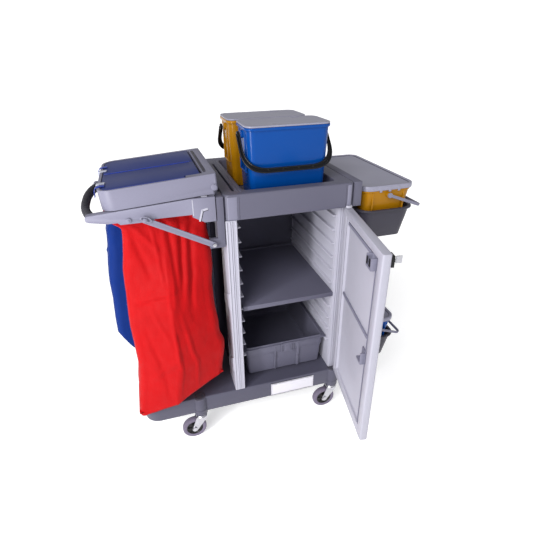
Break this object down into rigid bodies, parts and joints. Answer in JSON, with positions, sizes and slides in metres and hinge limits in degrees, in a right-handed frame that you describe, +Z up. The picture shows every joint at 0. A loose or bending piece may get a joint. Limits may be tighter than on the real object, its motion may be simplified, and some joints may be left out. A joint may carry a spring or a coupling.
{
  "type": "housekeeping cart",
  "caption": "Castered cabinet with hinged door, shelf and drawer, fold-up waste bag holder, lift-out buckets in the top tray and bucket trays on one side.",
  "frame": {"origin": "middle of the cart's footprint box, on the floor", "axes": "+Z up, -Y is the cabinet's open front, -X is the waste bag holder's side, +X the side trays"},
  "size_m": [1.2112, 0.928, 1.248],
  "materials": {
    "cart_grey": "fine-textured moulding",
    "light_grey": "fine-textured moulding",
    "white_panel": "satin moulding",
    "dark_grey": "fine-textured moulding",
    "lid_grey": "semi-gloss moulding",
    "blue": "semi-gloss moulding",
    "flap_blue": "satin moulding",
    "yellow": "semi-gloss moulding",
    "black": "satin moulding",
    "grip_rubber": "ribbed soft grip",
    "red_cloth": "coated woven cloth",
    "blue_cloth": "coated woven cloth",
    "zinc": "zinc plated",
    "tyre": "grey non-marking rubber"
  },
  "bodies": {
    "cart": {"base_platform": "cart_grey", "left_side_panel": "white_panel", "right_side_panel": "white_panel", "back_panel": "cart_grey", "top_tray": "cart_grey", "holder_front_post": "cart_grey", "holder_rear_post": "cart_grey", "holder_front_pin": "light_grey", "holder_rear_pin": "light_grey", "upper_side_rail": "cart_grey", "lower_side_rail": "cart_grey"},
    "shelf": {"shelf": "cart_grey"},
    "drawer": {"drawer": "cart_grey"},
    "door": {"door_panel": "white_panel", "door_lock": "black", "door_upper_clip": "light_grey", "door_lower_clip": "light_grey"},
    "key": {"door_key": "zinc"},
    "bag_frame": {"holder_front_arm": "light_grey", "holder_rear_arm": "light_grey", "holder_grip": "grip_rubber", "bag_rim": "cart_grey", "red_bag": "red_cloth", "blue_bag": "blue_cloth"},
    "lid_frame": {"lid_frame": "light_grey"},
    "front_lid": {"front_lid": "flap_blue"},
    "rear_lid": {"rear_lid": "flap_blue"},
    "front_brace": {"front_brace": "light_grey"},
    "rear_brace": {"rear_brace": "light_grey"},
    "front_left_swivel": {"front_left_caster_fork": "zinc", "front_left_caster_axle": "zinc"},
    "front_left_wheel": {"front_left_caster_tyre": "tyre", "front_left_caster_hub": "black"},
    "front_right_swivel": {"front_right_caster_fork": "zinc", "front_right_caster_axle": "zinc"},
    "front_right_wheel": {"front_right_caster_tyre": "tyre", "front_right_caster_hub": "black"},
    "rear_left_swivel": {"rear_left_caster_fork": "zinc", "rear_left_caster_axle": "zinc"},
    "rear_left_wheel": {"rear_left_caster_tyre": "tyre", "rear_left_caster_hub": "black"},
    "rear_right_swivel": {"rear_right_caster_fork": "zinc", "rear_right_caster_axle": "zinc"},
    "rear_right_wheel": {"rear_right_caster_tyre": "tyre", "rear_right_caster_hub": "black"},
    "blue_bucket": {"blue_bucket": "blue"},
    "blue_bucket_lid": {"blue_bucket_lid": "lid_grey"},
    "blue_bucket_bail": {"blue_bucket_bail": "black"},
    "yellow_bucket": {"yellow_bucket": "yellow"},
    "yellow_bucket_lid": {"yellow_bucket_lid": "lid_grey"},
    "yellow_bucket_bail": {"yellow_bucket_bail": "black"},
    "upper_side_tray": {"upper_side_tray": "dark_grey"},
    "upper_side_bucket": {"upper_side_bucket": "yellow"},
    "upper_side_lid": {"upper_side_lid": "lid_grey"},
    "upper_side_bail": {"upper_side_bail": "light_grey"},
    "lower_side_tray": {"lower_side_tray": "dark_grey"},
    "lower_side_bucket": {"lower_side_bucket": "blue"},
    "lower_side_lid": {"lower_side_lid": "lid_grey"},
    "lower_side_bail": {"lower_side_bail": "light_grey"}
  },
  "joints": [
    {"name": "shelf_slide", "type": "slide", "parent": "cart", "child": "shelf", "axis": [0, -1, 0], "range_m": [0, 0.1]},
    {"name": "drawer_slide", "type": "slide", "parent": "cart", "child": "drawer", "axis": [0, -1, 0], "range_m": [0, 0.14]},
    {"name": "door_swing", "type": "hinge", "parent": "cart", "child": "door", "pos_m": [0.29462, -0.084, 0.5855], "axis": [0, 0, 1], "range_deg": [-79.75, 70]},
    {"name": "key_turn", "type": "hinge", "parent": "door", "child": "key", "pos_m": [0.25195, -0.44924, 0.93], "axis": [0.984, -0.1779, 0], "range_deg": [0, 90]},
    {"name": "front_left_swivel", "type": "hinge", "parent": "cart", "child": "front_left_swivel", "pos_m": [-0.30438, -0.068, 0.12], "axis": [0, 0, 1], "continuous": true},
    {"name": "front_left_roll", "type": "hinge", "parent": "front_left_swivel", "child": "front_left_wheel", "pos_m": [-0.33838, -0.068, 0.05], "axis": [0, 1, 0], "continuous": true},
    {"name": "front_right_swivel", "type": "hinge", "parent": "cart", "child": "front_right_swivel", "pos_m": [0.28262, -0.068, 0.12], "axis": [0, 0, 1], "continuous": true},
    {"name": "front_right_roll", "type": "hinge", "parent": "front_right_swivel", "child": "front_right_wheel", "pos_m": [0.24862, -0.068, 0.05], "axis": [0, 1, 0], "continuous": true},
    {"name": "rear_left_swivel", "type": "hinge", "parent": "cart", "child": "rear_left_swivel", "pos_m": [-0.30438, 0.437, 0.12], "axis": [0, 0, 1], "continuous": true},
    {"name": "rear_left_roll", "type": "hinge", "parent": "rear_left_swivel", "child": "rear_left_wheel", "pos_m": [-0.33838, 0.437, 0.05], "axis": [0, 1, 0], "continuous": true},
    {"name": "rear_right_swivel", "type": "hinge", "parent": "cart", "child": "rear_right_swivel", "pos_m": [0.28262, 0.437, 0.12], "axis": [0, 0, 1], "continuous": true},
    {"name": "rear_right_roll", "type": "hinge", "parent": "rear_right_swivel", "child": "rear_right_wheel", "pos_m": [0.24862, 0.437, 0.05], "axis": [0, 1, 0], "continuous": true},
    {"name": "holder_fold", "type": "hinge", "parent": "cart", "child": "bag_frame", "pos_m": [-0.18338, 0.116, 1.079], "axis": [0, 1, 0], "range_deg": [0, 85]},
    {"name": "lid_frame_lift", "type": "hinge", "parent": "bag_frame", "child": "lid_frame", "pos_m": [-0.18338, 0.116, 1.079], "axis": [0, -1, 0], "range_deg": [-30, 0]},
    {"name": "front_lid_open", "type": "hinge", "parent": "lid_frame", "child": "front_lid", "pos_m": [-0.22391, 0.026, 1.11212], "axis": [0, -1, 0], "range_deg": [-80, 0]},
    {"name": "rear_lid_open", "type": "hinge", "parent": "lid_frame", "child": "rear_lid", "pos_m": [-0.22391, 0.214, 1.11212], "axis": [0, -1, 0], "range_deg": [-80, 0]},
    {"name": "front_brace_fold", "type": "hinge", "parent": "cart", "child": "front_brace", "pos_m": [-0.19738, -0.09, 0.884], "axis": [0, 1, 0], "range_deg": [0, 45]},
    {"name": "rear_brace_fold", "type": "hinge", "parent": "cart", "child": "rear_brace", "pos_m": [-0.19738, 0.322, 0.884], "axis": [0, 1, 0], "range_deg": [0, 45]},
    {"name": "blue_bucket_lift", "type": "slide", "parent": "cart", "child": "blue_bucket", "axis": [0, 0, 1], "range_m": [0, 0.26]},
    {"name": "blue_lid_lift", "type": "slide", "parent": "blue_bucket", "child": "blue_bucket_lid", "axis": [0, 0, 1], "range_m": [0, 0.08]},
    {"name": "blue_bail_swing", "type": "hinge", "parent": "blue_bucket", "child": "blue_bucket_bail", "pos_m": [0.08762, 0.049, 1.212], "axis": [1, 0, 0], "range_deg": [-125, 0]},
    {"name": "yellow_bucket_lift", "type": "slide", "parent": "cart", "child": "yellow_bucket", "axis": [0, 0, 1], "range_m": [0, 0.26]},
    {"name": "yellow_lid_lift", "type": "slide", "parent": "yellow_bucket", "child": "yellow_bucket_lid", "axis": [0, 0, 1], "range_m": [0, 0.08]},
    {"name": "yellow_bail_swing", "type": "hinge", "parent": "yellow_bucket", "child": "yellow_bucket_bail", "pos_m": [0.06562, 0.226, 1.212], "axis": [-1, 0, 0], "range_deg": [-125, 0]},
    {"name": "upper_tray_lift", "type": "slide", "parent": "cart", "child": "upper_side_tray", "axis": [0, 0, 1], "range_m": [0, 0.05]},
    {"name": "upper_side_bucket_lift", "type": "slide", "parent": "upper_side_tray", "child": "upper_side_bucket", "axis": [0, 0, 1], "range_m": [0, 0.12]},
    {"name": "upper_side_lid_lift", "type": "slide", "parent": "upper_side_bucket", "child": "upper_side_lid", "axis": [0, 0, 1], "range_m": [0, 0.06]},
    {"name": "upper_side_bail_swing", "type": "hinge", "parent": "upper_side_bucket", "child": "upper_side_bail", "pos_m": [0.46062, 0.176, 0.983], "axis": [0, 1, 0], "range_deg": [-110, 0]},
    {"name": "lower_tray_lift", "type": "slide", "parent": "cart", "child": "lower_side_tray", "axis": [0, 0, 1], "range_m": [0, 0.05]},
    {"name": "lower_side_bucket_lift", "type": "slide", "parent": "lower_side_tray", "child": "lower_side_bucket", "axis": [0, 0, 1], "range_m": [0, 0.12]},
    {"name": "lower_side_lid_lift", "type": "slide", "parent": "lower_side_bucket", "child": "lower_side_lid", "axis": [0, 0, 1], "range_m": [0, 0.06]},
    {"name": "lower_side_bail_swing", "type": "hinge", "parent": "lower_side_bucket", "child": "lower_side_bail", "pos_m": [0.46062, 0.176, 0.388], "axis": [0, 1, 0], "range_deg": [-110, 0]}
  ],
  "couplings": [
    {"joint": "front_brace_fold", "follows": "holder_fold", "ratio": 0.51},
    {"joint": "rear_brace_fold", "follows": "holder_fold", "ratio": 0.51}
  ]
}
